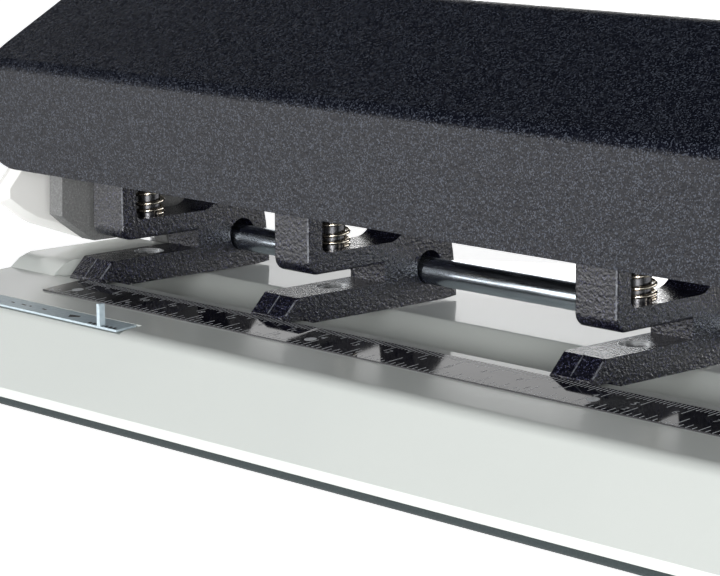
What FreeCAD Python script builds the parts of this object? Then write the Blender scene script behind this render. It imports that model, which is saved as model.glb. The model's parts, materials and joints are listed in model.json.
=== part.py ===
import FreeCAD, Part
import math
import os
import re

import Sketcher

# Multi-head lever punch: three sliding punch heads on a guide rod, a wide hinged handle
# that presses all three punches, and a pressed-steel base with a paper ledge.
# Frame: X along the row of heads, Y from the user's side to the back, Z up.
# Origin: centre of the base's footprint, on the table. The ledge's back edge (edge_y,
# edge_z) is the datum that the heads and the paper work from.

os.makedirs("parts", exist_ok=True)
doc = FreeCAD.newDocument("lever_punch")

# ------------------------------------------------------------------ driving dimensions
DIMENSIONS = {
    # datum edge
    "edge_y": -35.0,
    "edge_z": 21.0,
    # base outline
    "base_half": 155.0,
    "front_y": -73.0,
    "rear_y": 73.0,
    "corner_y": 15.0,
    "corner_x": 60.0,
    "mat_top": 2.0,
    "shell_wall": 1.5,
    "flange_top": 4.1,
    "bend_y": -61.0,
    "bend_drop": 2.0,
    "ruler_thick": 0.3,
    # channel behind the ledge
    "channel_half": 138.0,
    "lip_drop": 0.95,
    "lip_back": 6.0,
    "trough_drop": 8.8,
    "deck_drop": 2.1,
    "ridge_back": 33.0,
    "end_rise": 2.7,
    "end_back": 35.0,
    "end_step": 38.0,
    # chip drawer
    "slot_half": 131.0,
    "drawer_front": 8.0,
    "drawer_back": 27.0,
    "drawer_low": 3.4,
    "drawer_high": 10.0,
    "drawer_wall": 1.2,
    "drawer_left": -133.0,
    # ruler and paper guide
    "ledge_slope": 0.065,
    "ruler_wide": 12.0,
    "ruler_half": 127.5,
    "guide_left": -158.0,
    "guide_right": -82.3,
    "guide_front": -26.0,
    "guide_back": -20.4,
    "guide_thick": 0.5,
    "guide_gap": 0.3,
    "tab_x": -88.6,
    "tab_high": 4.6,
    "stop_high": 7.0,
    # punch heads
    "head_1_x": -127.8,
    "head_2_x": -63.0,
    "head_3_x": 26.6,
    "head_wide": 11.2,
    "nose_run": 4.3,
    "throat_low": 4.3,
    "throat_gap": 4.3,
    "throat_back": 30.3,
    "front_face": 7.5,
    "arm_under": 1.8,
    "tail_back": 52.6,
    "head_top": 29.0,
    "window_front": 11.7,
    "window_back": 37.0,
    "window_low": 13.2,
    "window_high": 24.6,
    # punch, die and spring
    "punch_back": 19.6,
    "punch_r": 3.0,
    "fit_gap": 0.06,
    "punch_tip": 9.0,
    "punch_top": 38.3,
    "cap_r": 4.4,
    "cap_high": 2.8,
    "clip_low": 23.2,
    "clip_high": 24.3,
    "clip_r": 4.8,
    "die_r": 3.7,
    "spring_r": 3.75,
    "spring_wire_r": 0.4,
    "spring_turns": 4.6,
    # guide rod and end brackets
    "rod_back": 44.2,
    "rod_up": 5.35,
    "rod_r": 3.1,
    "rod_hole_up": 6.1,
    "rod_hole_r": 3.9,
    "rod_half": 148.6,
    "bracket_in": 142.0,
    "bracket_thick": 5.0,
    "foot_wide": 6.0,
    "foot_high": 3.0,
    # handle
    "pivot_back": 50.0,
    "pivot_up": 16.0,
    "pivot_r": 3.0,
    "cover_half": 161.0,
    "cover_wall": 1.5,
    "cover_end": 2.0,
    "cover_low": 24.6,
    "cover_rear_low": 39.0,
    "cover_corner": 10.0,
    "cover_round": 15.5,
    "arm_out": 158.8,
    "arm_in": 155.6,
    "bar_front": 13.6,
    "bar_back": 25.6,
    "bar_low": 38.6,
    "bar_high": 46.6,
    "screw_r": 1.5,
    "screw_head_r": 3.0,
}

sheet = doc.addObject("Spreadsheet::Sheet", "Dims")
for row, (alias, number) in enumerate(DIMENSIONS.items(), start=1):
    sheet.set("A%d" % row, alias)
    sheet.set("B%d" % row, str(number))
    sheet.setAlias("B%d" % row, alias)
doc.recompute()

WORD = re.compile(r"[a-z][a-z_0-9]*")
NODES = []


def cell_name(match):
    """An alias of the sheet gets the sheet's name before it; any other word stays."""
    word = match.group(0)
    return "Dims." + word if word in DIMENSIONS else word


def bound(text):
    """Turn 'edge_y + 4' into an expression on the sheet's cells."""
    return WORD.sub(cell_name, text)


def size(text):
    """The present value of an expression, as a number."""
    return float(sheet.evalExpression(bound(text)))


def back(text):
    """A Y expression measured back from the ledge's back edge."""
    return "edge_y + (%s)" % text


def up(text):
    """A Z expression measured up from the ledge's back edge."""
    return "edge_z + (%s)" % text


def at(y, z):
    """A point of a side-view outline, measured from the ledge's back edge."""
    return back(str(y)), up(str(z))


# ------------------------------------------------------------------ sketch and feature helpers
def new_body(name):
    body = doc.addObject("PartDesign::Body", name + "_body")
    body.Label = name
    NODES.append((name, body))
    return body


def new_sketch(body, role, lift="0"):
    """A sketch on one of the body's own origin planes, raised along the plane's normal."""
    sketch = body.newObject("Sketcher::SketchObject", body.Label + "_sketch")
    plane = [f for f in body.Origin.OriginFeatures if f.Role == role][0]
    sketch.AttachmentSupport = [(plane, "")]
    sketch.MapMode = "FlatFace"
    sketch.setExpression("AttachmentOffset.Base.z", bound(lift))
    return sketch


def pin_point(sketch, geometry, vertex, across, along):
    """Fix one vertex of a sketch at two expressions."""
    for kind, text in (("DistanceX", across), ("DistanceY", along)):
        index = sketch.addConstraint(
            Sketcher.Constraint(kind, -1, 1, geometry, vertex, size(text)))
        sketch.setExpression("Constraints[%d]" % index, bound(text))


def outline(sketch, corners):
    """A closed outline of straight edges, every corner bound to the sheet."""
    first = sketch.GeometryCount
    count = len(corners)
    spots = [FreeCAD.Vector(size(a), size(b), 0) for a, b in corners]
    for i in range(count):
        sketch.addGeometry(Part.LineSegment(spots[i], spots[(i + 1) % count]))
    for i in range(count):
        following = first + (i + 1) % count
        sketch.addConstraint(Sketcher.Constraint("Coincident", first + i, 2, following, 1))
    for i in range(count):
        pin_point(sketch, first + i, 1, *corners[i])


def box_outline(sketch, low, high):
    outline(sketch, [(low[0], low[1]), (high[0], low[1]), (high[0], high[1]), (low[0], high[1])])


def ring(sketch, across, along, radius):
    """A full circle bound to the sheet."""
    centre = FreeCAD.Vector(size(across), size(along), 0)
    index = sketch.addGeometry(Part.Circle(centre, FreeCAD.Vector(0, 0, 1), size(radius)))
    pin_point(sketch, index, 3, across, along)
    radius_index = sketch.addConstraint(Sketcher.Constraint("Radius", index, size(radius)))
    sketch.setExpression("Constraints[%d]" % radius_index, bound(radius))


def pad(body, sketch, length, midplane=False):
    feature = body.newObject("PartDesign::Pad", body.Label + "_pad")
    feature.Profile = sketch
    feature.setExpression("Length", bound(length))
    feature.Midplane = midplane
    doc.recompute()
    return feature


def pocket(body, sketch, length, midplane=False, reverse=False):
    """Cut a sketch's outline; stop if nothing was removed."""
    before = body.Tip.Shape.Volume
    feature = body.newObject("PartDesign::Pocket", body.Label + "_pocket")
    feature.Profile = sketch
    feature.setExpression("Length", bound(length))
    feature.Midplane = midplane
    feature.Reversed = reverse
    doc.recompute()
    if feature.Shape.Volume > before - 1e-3:
        raise RuntimeError("%s removed nothing" % feature.Name)
    return feature


def edges_where(shape, test):
    """Names of the straight edges whose middle point and direction pass a test."""
    names = []
    for index, edge in enumerate(shape.Edges, start=1):
        if len(edge.Vertexes) != 2 or not isinstance(edge.Curve, Part.Line):
            continue
        middle = edge.CenterOfMass
        way = edge.Curve.Direction
        if test(middle, way):
            names.append("Edge%d" % index)
    return names


def round_edges(body, radius, test, kind="Fillet"):
    names = edges_where(body.Tip.Shape, test)
    if not names:
        raise RuntimeError("no edge to round on " + body.Label)
    feature = body.newObject("PartDesign::" + kind, body.Label + "_" + kind.lower())
    feature.Base = (feature.BaseFeature, names)
    setattr(feature, "Radius" if kind == "Fillet" else "Size", radius)
    doc.recompute()
    if not feature.Shape.isValid() or "Invalid" in feature.State:
        raise RuntimeError("bad %s on %s" % (kind, body.Label))
    return feature


def along_x(y, z, reach=0.05):
    """A test for edges parallel to X that pass through (y, z)."""
    def test(middle, way):
        near = abs(middle.y - y) < reach and abs(middle.z - z) < reach
        return near and abs(way.x) > 0.99
    return test


def upright(x, y, reach=0.05):
    """A test for vertical edges, on both sides of the middle plane, at (x, y)."""
    def test(middle, way):
        near = abs(abs(middle.x) - x) < reach and abs(middle.y - y) < reach
        return near and abs(way.z) > 0.9
    return test


def revolve(body, corners, origin_y, lift):
    """A solid of revolution about a vertical line, from (radius, height) corners."""
    sketch = new_sketch(body, "XZ_Plane")
    outline(sketch, corners)
    feature = body.newObject("PartDesign::Revolution", body.Label + "_turned")
    feature.Profile = sketch
    feature.ReferenceAxis = (sketch, ["V_Axis"])
    feature.Angle = 360.0
    body.setExpression("Placement.Base.y", bound(origin_y))
    body.setExpression("Placement.Base.z", bound(lift))
    doc.recompute()
    return feature


def place_x(body, text):
    body.setExpression("Placement.Base.x", bound(text))


def simple_node(name, item):
    item.Label = name
    NODES.append((name, item))
    return item


def cylinder_x(name, left, length, radius, y, z):
    """A round bar along X as a primitive, bound to the sheet."""
    item = doc.addObject("Part::Cylinder", name)
    item.Placement.Rotation = FreeCAD.Rotation(FreeCAD.Vector(0, 1, 0), 90)
    item.setExpression("Radius", bound(radius))
    item.setExpression("Height", bound(length))
    item.setExpression("Placement.Base.x", bound(left))
    item.setExpression("Placement.Base.y", bound(y))
    item.setExpression("Placement.Base.z", bound(z))
    return item


def cylinder_z(name, x, y, low, length, radius):
    """A round bar along Z as a primitive, bound to the sheet."""
    item = doc.addObject("Part::Cylinder", name)
    item.setExpression("Radius", bound(radius))
    item.setExpression("Height", bound(length))
    item.setExpression("Placement.Base.x", bound(x))
    item.setExpression("Placement.Base.y", bound(y))
    item.setExpression("Placement.Base.z", bound(low))
    return item


def joined(name, items):
    item = doc.addObject("Part::MultiFuse", name)
    item.Shapes = items
    return item


def group(name, items):
    item = doc.addObject("Part::Compound", name + "_group")
    item.Links = items
    return simple_node(name, item)


def rounding(name, place, dimensions, roller):
    """What lies outside a rounded corner: a box without the roller that fits the corner."""
    block = doc.addObject("Part::Box", name + "_block")
    for axis, text in zip("xyz", place):
        block.setExpression("Placement.Base." + axis, bound(text))
    for side_length, text in zip(("Length", "Width", "Height"), dimensions):
        block.setExpression(side_length, bound(text))
    cut = doc.addObject("Part::Cut", name)
    cut.Base = block
    cut.Tool = roller
    return cut


SIDES = (("left", -1), ("right", 1))

# fixing places shared by the pieces they join, measured from the ledge's back edge
FOOT_SCREWS = (41.0, 47.0)
COVER_SCREWS = (16.6, 22.6)
COVER_SCREW_UP = 42.6
FOOT_SCREW_X = "%d * (bracket_in + bracket_thick + 0.65 * foot_wide)"

# the spring wire's section is a polygon with this many sides
WIRE_SIDES = 12


def footprint(inset):
    """The base's outline seen from above, moved inwards."""
    half = "(base_half - %s)" % inset
    return [
        ("-" + half, "front_y + %s" % inset),
        (half, "front_y + %s" % inset),
        (half, "corner_y - 0.5 * %s" % inset),
        ("corner_x - 0.3 * %s" % inset, "rear_y - %s" % inset),
        ("-(corner_x - 0.3 * %s)" % inset, "rear_y - %s" % inset),
        ("-" + half, "corner_y - 0.5 * %s" % inset),
    ]


# ------------------------------------------------------------------ base
def make_base_block(body, w, floor):
    """The base's outer form, or with w as the wall the hollow inside it."""
    ledge_front = "edge_z - bend_drop - %s" % w
    ledge_back = "edge_z - ruler_thick - ledge_slope - 0.005 - %s" % w
    section = new_sketch(body, "YZ_Plane")
    outline(section, [
        ("front_y + %s" % w, floor),
        ("front_y + %s" % w, "flange_top"),
        ("bend_y + 0.6 * %s" % w, ledge_front),
        (back("-1 + 0.2 * %s" % w), ledge_back),
        (back("1.6 + 0.5 * %s" % w), up("1.6 - 0.8 * %s" % w)),
        (back("4.8 + 0.2 * %s" % w), up("end_rise - %s" % w)),
        (back("end_back - 0.5 * %s" % w), up("end_rise - %s" % w)),
        (back("end_step - 0.5 * %s" % w), up("-deck_drop - %s" % w)),
        ("rear_y - %s" % w, up("-deck_drop - %s" % w)),
        ("rear_y - %s" % w, floor),
    ])
    pad(body, section, "2 * (base_half - %s)" % w, midplane=True)

    channel = new_sketch(body, "YZ_Plane")
    outline(channel, [
        (back("-1 + 0.2 * %s" % w), up("end_rise + 3")),
        (back("-1 + 0.2 * %s" % w), ledge_back),
        (back("-0.6 * %s" % w), ledge_back),
        (back("-0.6 * %s" % w), up("-lip_drop - %s" % w)),
        (back("lip_back - 0.8 * %s" % w), up("-lip_drop - %s" % w)),
        (back("lip_back + 2 - 0.9 * %s" % w), up("-trough_drop + 3 - 0.5 * %s" % w)),
        (back("lip_back + 5 - 0.4 * %s" % w), up("-trough_drop - %s" % w)),
        (back("ridge_back - 10 + 0.3 * %s" % w), up("-trough_drop - %s" % w)),
        (back("ridge_back - 6.5 + 0.6 * %s" % w), up("-trough_drop + 2.2 - 0.8 * %s" % w)),
        (back("ridge_back - 3 + 0.6 * %s" % w), up("-deck_drop - 1.6 - 0.8 * %s" % w)),
        (back("ridge_back + 0.3 * %s" % w), up("-deck_drop - %s" % w)),
        (back("end_step + 2"), up("-deck_drop - %s" % w)),
        (back("end_step + 2"), up("end_rise + 3")),
    ])
    pocket(body, channel, "2 * (channel_half + %s)" % w, midplane=True)

    corners = new_sketch(body, "XY_Plane")
    for side in ("-", ""):
        outline(corners, [
            (side + "(base_half + 2)", "corner_y - 1.2 * %s" % w),
            (side + "base_half", "corner_y - 1.2 * %s" % w),
            (side + "corner_x", "rear_y - 1.2 * %s" % w),
            (side + "corner_x", "rear_y + 2"),
            (side + "(base_half + 2)", "rear_y + 2"),
        ])
    pocket(body, corners, "3 * edge_z", reverse=True)


def make_base_shell():
    body = doc.addObject("PartDesign::Body", "base_outer_body")
    body.Label = "base_outer"
    make_base_block(body, "0", "mat_top")
    round_edges(body, 6.0, upright(size("base_half"), size("front_y")))
    round_edges(body, 5.0, along_x(size("bend_y"), size("edge_z - bend_drop")))
    round_edges(body, 2.2, along_x(size(back("ridge_back")), size(up("-deck_drop"))))
    round_edges(body, 2.5, along_x(size("rear_y"), size(up("-deck_drop"))))

    slot = new_sketch(body, "XY_Plane", up("-trough_drop + 1"))
    box_outline(slot, ("-slot_half", back("12.5")), ("slot_half", back("21.5")))
    pocket(body, slot, "4")

    bay = new_sketch(body, "YZ_Plane", "base_half + 1")
    box_outline(bay, (back("drawer_front - 0.4"), "drawer_low - 0.4"),
                (back("drawer_back + 0.4"), "drawer_high + 0.4"))
    pocket(body, bay, "1 + shell_wall + 1")

    recess = new_sketch(body, "YZ_Plane", "-base_half - 1")
    low, high = guide_heights("guide_gap + guide_thick", "-1.5")
    outline(recess, [
        (back("guide_front - guide_gap"), low[0]),
        (back("guide_back + guide_gap"), low[1]),
        (back("guide_back + guide_gap"), high[1]),
        (back("guide_front - guide_gap"), high[0]),
    ])
    pocket(body, recess, "guide_right + 1.5 + base_half + 1", reverse=True)

    holes = new_sketch(body, "XY_Plane", up("1"))
    for _, side in SIDES:
        for spot in FOOT_SCREWS:
            ring(holes, FOOT_SCREW_X % side, back(str(spot)), "screw_r + 0.15")
    pocket(body, holes, "8")

    cavity = doc.addObject("PartDesign::Body", "base_cavity_body")
    cavity.Label = "base_cavity"
    make_base_block(cavity, "shell_wall", "mat_top - 1")
    shell = doc.addObject("Part::Cut", "base_shell_cut")
    shell.Base = body
    shell.Tool = cavity
    simple_node("base_shell", shell)


def guide_heights(depth, rise):
    """Heights of the paper guide's front and back edges: a lower and an upper pair."""
    def level(y, drop):
        return "edge_z - ruler_thick + ledge_slope * (%s) - (%s)" % (y, drop)
    low = (level("guide_front", depth), level("guide_back", depth))
    high = (level("guide_front", rise), level("guide_back", rise))
    return low, high


def make_base_plate():
    body = new_body("base_plate")
    sketch = new_sketch(body, "XY_Plane", "mat_top")
    outline(sketch, footprint("2"))
    pad(body, sketch, "1")
    round_edges(body, 5.0, upright(size("base_half - 2"), size("front_y + 2")))


def make_base_mat():
    body = new_body("base_mat")
    sketch = new_sketch(body, "XY_Plane")
    outline(sketch, footprint("0.0"))
    pad(body, sketch, "mat_top")
    round_edges(body, 6.0, upright(size("base_half"), size("front_y")))

    def low_rim(middle, way):
        return middle.z < 0.01

    round_edges(body, 0.8, low_rim, kind="Chamfer")


def make_ruler_strip():
    body = new_body("ruler_strip")
    sketch = new_sketch(body, "YZ_Plane")
    fall = "ledge_slope * ruler_wide"
    outline(sketch, [
        (back("-ruler_wide"), "edge_z - ruler_thick - %s" % fall),
        (back("0"), "edge_z - ruler_thick"),
        (back("0"), "edge_z"),
        (back("-ruler_wide"), "edge_z - %s" % fall),
    ])
    pad(body, sketch, "2 * ruler_half", midplane=True)


def make_paper_guide():
    body = new_body("paper_guide")
    strip = new_sketch(body, "YZ_Plane", "guide_left")
    low, high = guide_heights("guide_thick", "0")
    outline(strip, [
        (back("guide_front"), low[0]),
        (back("guide_back"), low[1]),
        (back("guide_back"), high[1]),
        (back("guide_front"), high[0]),
    ])
    pad(body, strip, "guide_right - guide_left")
    tab = new_sketch(body, "YZ_Plane", "tab_x - 0.5")
    box_outline(tab, (back("guide_front"), low[0]), (back("guide_front + 1.6"), up("tab_high - 1.7")))
    pad(body, tab, "1")
    stop = new_sketch(body, "YZ_Plane", "guide_left")
    box_outline(stop, (back("guide_front"), low[0]), (back("guide_back"), up("stop_high")))
    pad(body, stop, "1")


def make_chip_drawer():
    body = new_body("chip_drawer")
    tray = new_sketch(body, "XY_Plane", "drawer_low")
    box_outline(tray, ("drawer_left", back("drawer_front")), ("base_half", back("drawer_back")))
    pad(body, tray, "drawer_high - drawer_low")
    inside = new_sketch(body, "XY_Plane", "drawer_high")
    box_outline(inside, ("drawer_left + drawer_wall", back("drawer_front + drawer_wall")),
                ("base_half - 2", back("drawer_back - drawer_wall")))
    pocket(body, inside, "drawer_high - drawer_low - drawer_wall")
    pull = new_sketch(body, "YZ_Plane", "base_half")
    box_outline(pull, (back("drawer_front + 4"), "drawer_high - 3.4"),
                (back("drawer_back - 4"), "drawer_high - 1.4"))
    pad(body, pull, "3")


# ------------------------------------------------------------------ guide rod and brackets
def make_end_bracket(name, side):
    body = new_body(name)
    plate = new_sketch(body, "YZ_Plane", "%d * (bracket_in + 0.5 * bracket_thick)" % side)
    outline(plate, [
        at(5.4, 26), at(5.0, 12.6), at(8.2, 10.0), at(14.4, 5.7), at(36.0, 5.4),
        (back("38.6"), up("-deck_drop")), (back("50.5"), up("-deck_drop")),
        at(58.0, 8.0), at(58.0, 22.0), at(52.0, 26.0),
    ])
    pad(body, plate, "bracket_thick", midplane=True)
    foot = new_sketch(body, "XY_Plane", up("-deck_drop"))
    inner = "%d * (bracket_in + 0.5 * bracket_thick)" % side
    outer = "%d * (bracket_in + bracket_thick + foot_wide)" % side
    box_outline(foot, (inner, back("38.6")), (outer, back("49.8")))
    pad(body, foot, "foot_high")
    bores = new_sketch(body, "YZ_Plane", "%d * (bracket_in + 0.5 * bracket_thick)" % side)
    ring(bores, back("rod_back"), up("rod_up"), "rod_r + 0.02")
    ring(bores, back("pivot_back"), up("pivot_up"), "pivot_r + 0.02")
    pocket(body, bores, "bracket_thick + 1", midplane=True)
    holes = new_sketch(body, "XY_Plane", up("foot_high"))
    for spot in FOOT_SCREWS:
        ring(holes, FOOT_SCREW_X % side, back(str(spot)), "screw_r + 0.15")
    pocket(body, holes, "8")


def make_bracket_screws():
    screws = []
    for side_name, side in SIDES:
        for number, spot in enumerate(FOOT_SCREWS):
            tag = "foot_screw_%s_%d" % (side_name, number)
            x = FOOT_SCREW_X % side
            shank = cylinder_z(tag + "_shank", x, back(str(spot)), up("-deck_drop - 4"),
                               "foot_high + 4.2", "screw_r")
            head = cylinder_z(tag + "_head", x, back(str(spot)), up("foot_high - deck_drop"),
                              "1.6", "2.05")
            screws.append(joined(tag, [shank, head]))
    group("bracket_screws", screws)


def make_guide_rod():
    rod = cylinder_x("guide_rod_bar", "-rod_half", "2 * rod_half", "rod_r",
                     back("rod_back"), up("rod_up"))
    grooves = []
    for side_name, side in SIDES:
        start = "%d * (bracket_in + bracket_thick + 0.6) - 0.5" % side
        disc = cylinder_x("rod_groove_%s_outer" % side_name, start, "1", "rod_r + 1",
                          back("rod_back"), up("rod_up"))
        core = cylinder_x("rod_groove_%s_core" % side_name, start, "1", "rod_r - 0.6",
                          back("rod_back"), up("rod_up"))
        groove = doc.addObject("Part::Cut", "rod_groove_%s" % side_name)
        groove.Base = disc
        groove.Tool = core
        grooves.append(groove)
    cut = doc.addObject("Part::Cut", "guide_rod_cut")
    cut.Base = rod
    cut.Tool = joined("rod_grooves", grooves)
    simple_node("guide_rod", cut)


def make_rod_clips():
    clips = []
    for side_name, side in SIDES:
        start = "%d * (bracket_in + bracket_thick + 0.6) - 0.4" % side
        plate = cylinder_x("rod_clip_%s_plate" % side_name, start, "0.8", "rod_r + 1.2",
                           back("rod_back"), up("rod_up"))
        bore = cylinder_x("rod_clip_%s_bore" % side_name, start, "0.8", "rod_r - 0.6",
                          back("rod_back"), up("rod_up"))
        mouth = doc.addObject("Part::Box", "rod_clip_%s_mouth" % side_name)
        mouth.setExpression("Placement.Base.x", bound(start))
        mouth.setExpression("Placement.Base.y", bound(back("rod_back - 2")))
        mouth.setExpression("Placement.Base.z", bound(up("rod_up + 1")))
        mouth.Length = 0.8
        mouth.Width = 4
        mouth.Height = 6
        clip = doc.addObject("Part::Cut", "rod_clip_%s" % side_name)
        clip.Base = plate
        clip.Tool = joined("rod_clip_%s_opening" % side_name, [bore, mouth])
        clips.append(clip)
    group("rod_clips", clips)


def make_hinge_pin(name, side):
    inner_end = "(bracket_in - 0.5)"
    head_start = "(arm_out + 0.3)"
    shank = cylinder_x(name + "_shank", "%d * (0.5 * (%s + %s)) - 0.5 * (%s - %s)"
                       % (side, inner_end, head_start, head_start, inner_end),
                       "%s - %s" % (head_start, inner_end), "pivot_r",
                       back("pivot_back"), up("pivot_up"))
    head = cylinder_x(name + "_head", "%d * (%s + 0.75) - 0.75" % (side, head_start),
                      "1.5", "pivot_r + 2", back("pivot_back"), up("pivot_up"))
    simple_node(name, joined(name + "_fused", [shank, head]))


def make_hinge_spacer(name, side):
    left_end = "%d * (0.5 * (arm_in - 0.3 + bracket_in + bracket_thick))" % side
    length = "(arm_in - 0.3 - bracket_in - bracket_thick)"
    start = "%s - 0.5 * %s" % (left_end, length)
    tube = cylinder_x(name + "_tube", start, length, "pivot_r + 1.6",
                      back("pivot_back"), up("pivot_up"))
    bore = cylinder_x(name + "_bore", start, length, "pivot_r + 0.02",
                      back("pivot_back"), up("pivot_up"))
    cut = doc.addObject("Part::Cut", name + "_cut")
    cut.Base = tube
    cut.Tool = bore
    simple_node(name, cut)


# ------------------------------------------------------------------ handle
def make_cover_block(body, w, half, floor):
    """The cover's outer form, or with w as the wall the hollow inside it."""
    crease = (back("-3 + 0.9 * %s" % w), up("48.9 - 0.7 * %s" % w))
    ridge = (back("32.8 - 0.1 * %s" % w), up("68.7 - 1.1 * %s" % w))
    rear_top = (back("57 - 0.5 * %s" % w), up("61.5 - 0.9 * %s" % w))
    section = new_sketch(body, "YZ_Plane")
    outline(section, [(back("-6 + %s" % w), floor[0]), crease, ridge, rear_top] + floor[1:])
    pad(body, section, "2 * (%s)" % half, midplane=True)
    wall = size(w)
    for corner, radius in ((crease, 5.0), (ridge, 6.0), (rear_top, 7.0)):
        round_edges(body, radius - wall, along_x(size(corner[0]), size(corner[1])))


def cover_corner(name, side, w):
    """The rounding of one front corner of the cover, seen from above."""
    radius = "(cover_corner - %s)" % w
    middle = "%d * (cover_half - cover_corner)" % side
    roller = cylinder_z(name + "_roller", middle, back("cover_corner - 6"),
                        up("cover_low - 4"), "60", radius)
    left = middle if side > 0 else "%s - cover_corner - 1" % middle
    return rounding(name, (left, back("-7"), up("cover_low - 3")),
                    ("cover_corner + 1", "cover_corner + 1", "58"), roller)


def cover_lower_corner(name, side):
    """The rounding of one lower end corner of the cover, seen from the front."""
    roller = doc.addObject("Part::Cylinder", name + "_roller")
    roller.Placement.Rotation = FreeCAD.Rotation(FreeCAD.Vector(1, 0, 0), -90)
    roller.setExpression("Radius", bound("cover_round"))
    roller.Height = 84
    middle = "%d * (cover_half - cover_round)" % side
    roller.setExpression("Placement.Base.x", bound(middle))
    roller.setExpression("Placement.Base.y", bound(back("-9")))
    roller.setExpression("Placement.Base.z", bound(up("cover_low + cover_round")))
    left = middle if side > 0 else "%s - cover_round - 1" % middle
    return rounding(name, (left, back("-8"), up("cover_low - 1")),
                    ("cover_round + 1", "82", "cover_round + 1"), roller)


def make_handle_cover():
    body = doc.addObject("PartDesign::Body", "cover_outer_body")
    body.Label = "cover_outer"
    make_cover_block(body, "0", "cover_half", [
        up("cover_low"),
        (back("67"), up("cover_rear_low")), (back("50"), up("cover_rear_low")),
        (back("38"), up("cover_low")),
    ])
    holes = new_sketch(body, "YZ_Plane")
    for spot in COVER_SCREWS:
        ring(holes, back(str(spot)), up(str(COVER_SCREW_UP)), "screw_r + 0.1")
    pocket(body, holes, "2 * cover_half + 4", midplane=True)
    cavity = doc.addObject("PartDesign::Body", "cover_cavity_body")
    cavity.Label = "cover_cavity"
    make_cover_block(cavity, "cover_wall", "cover_half - cover_end", [
        up("cover_low - 1"),
        (back("67 - cover_wall"), up("cover_rear_low")),
        (back("67 - cover_wall"), up("cover_low - 1")),
    ])
    outer_tools = []
    inner_tools = []
    for side_name, side in SIDES:
        outer_tools.append(cover_corner("cover_corner_" + side_name, side, "0"))
        outer_tools.append(cover_lower_corner("cover_low_corner_" + side_name, side))
        inner_tools.append(cover_corner("cavity_corner_" + side_name, side, "cover_wall"))
    rounded = doc.addObject("Part::Cut", "cover_rounded")
    rounded.Base = body
    rounded.Tool = joined("cover_outer_tools", outer_tools)
    hollow = doc.addObject("Part::Cut", "cover_hollow")
    hollow.Base = cavity
    hollow.Tool = joined("cover_inner_tools", inner_tools)
    shell = doc.addObject("Part::Cut", "handle_cover_cut")
    shell.Base = rounded
    shell.Tool = hollow
    simple_node("handle_cover", shell)


def make_handle_arm(name, side):
    body = new_body(name)
    middle = "%d * 0.5 * (arm_in + arm_out)" % side
    plate = new_sketch(body, "YZ_Plane", middle)
    outline(plate, [
        at(2.6, 24), at(-1.9, 19.0), at(-2.0, 15.2), at(2.9, 11.4), at(7.0, 9.0),
        at(21.6, 3.8), at(40.0, 3.4), at(52.0, 5.0), at(60.0, 12.0), at(60.0, 22.0),
        at(46.0, 44.0), at(30.0, 50.0), at(8.0, 47.0), at(2.6, 40.0),
    ])
    pad(body, plate, "arm_out - arm_in", midplane=True)

    def inner_rim(mid, way):
        return abs(abs(mid.x) - size("arm_in")) < 0.05 and abs(way.x) < 0.1

    round_edges(body, 1.8, inner_rim, kind="Chamfer")
    bores = new_sketch(body, "YZ_Plane", middle)
    ring(bores, back("pivot_back"), up("pivot_up"), "pivot_r + fit_gap")
    for spot in COVER_SCREWS:
        ring(bores, back(str(spot)), up(str(COVER_SCREW_UP)), "screw_r + 0.1")
    pocket(body, bores, "arm_out - arm_in + 2", midplane=True)


def make_pressure_bar():
    body = new_body("pressure_bar")
    section = new_sketch(body, "YZ_Plane")
    box_outline(section, (back("bar_front"), up("bar_low")), (back("bar_back"), up("bar_high")))
    pad(body, section, "2 * arm_in", midplane=True)
    for y in ("bar_front", "bar_back"):
        round_edges(body, 1.5, along_x(size(back(y)), size(up("bar_low"))))
    for side in ("", "-"):
        bores = new_sketch(body, "YZ_Plane", side + "arm_in")
        for spot in COVER_SCREWS:
            ring(bores, back(str(spot)), up(str(COVER_SCREW_UP)), "screw_r + 0.1")
        pocket(body, bores, "9", reverse=(side == "-"))


def make_cover_screws():
    screws = []
    for side_name, side in SIDES:
        for number, spot in enumerate(COVER_SCREWS):
            tag = "cover_screw_%s_%d" % (side_name, number)
            y = back(str(spot))
            z = up(str(COVER_SCREW_UP))
            length = "(cover_half - arm_in + 8)"
            start = "%d * (cover_half - 0.5 * %s) - 0.5 * %s" % (side, length, length)
            shank = cylinder_x(tag + "_shank", start, length, "screw_r", y, z)
            head = cylinder_x(tag + "_head", "%d * (cover_half + 0.6) - 0.6" % side,
                              "1.2", "screw_head_r", y, z)
            screws.append(joined(tag, [shank, head]))
    group("cover_screws", screws)


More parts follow.
